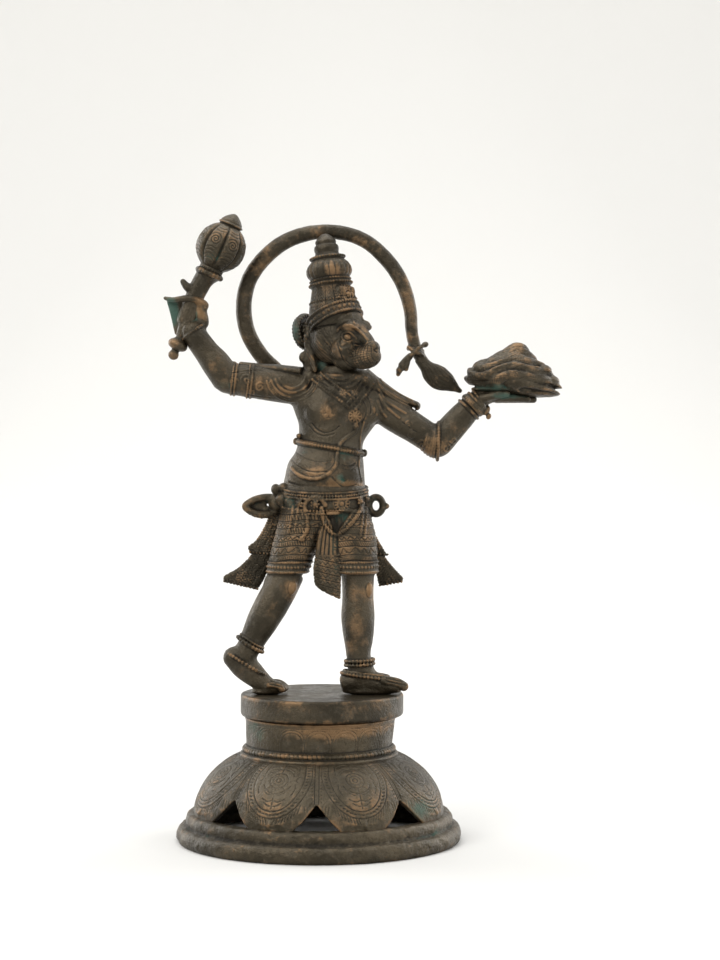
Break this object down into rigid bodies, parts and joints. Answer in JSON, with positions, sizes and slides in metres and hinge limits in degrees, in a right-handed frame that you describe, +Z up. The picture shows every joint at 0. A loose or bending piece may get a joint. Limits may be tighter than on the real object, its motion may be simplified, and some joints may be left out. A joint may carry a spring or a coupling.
{
  "type": "hanuman figure on a lotus pedestal",
  "caption": "Cast bronze figure of a striding monkey deity with a raised mace, a mountain on an open palm and a tail looped over the crown, on a hollow lotus pedestal.",
  "frame": {"origin": "on the ground, under the middle of the whole object's bounding box", "axes": "+Z up, +X to the viewer's right of the front view, +Y away from the viewer"},
  "size_m": [0.1916, 0.1368, 0.2996],
  "materials": {
    "figure_bronze": "aged bronze, dark brown-grey patina, copper-coloured wear on raised edges, green in the hollows",
    "pedestal_bronze": "aged bronze, engraved, dark brown-grey patina with copper-coloured wear and green patches"
  },
  "bodies": {
    "root": {"hanuman_figure": "figure_bronze", "lotus_pedestal": "pedestal_bronze"}
  },
  "joints": []
}
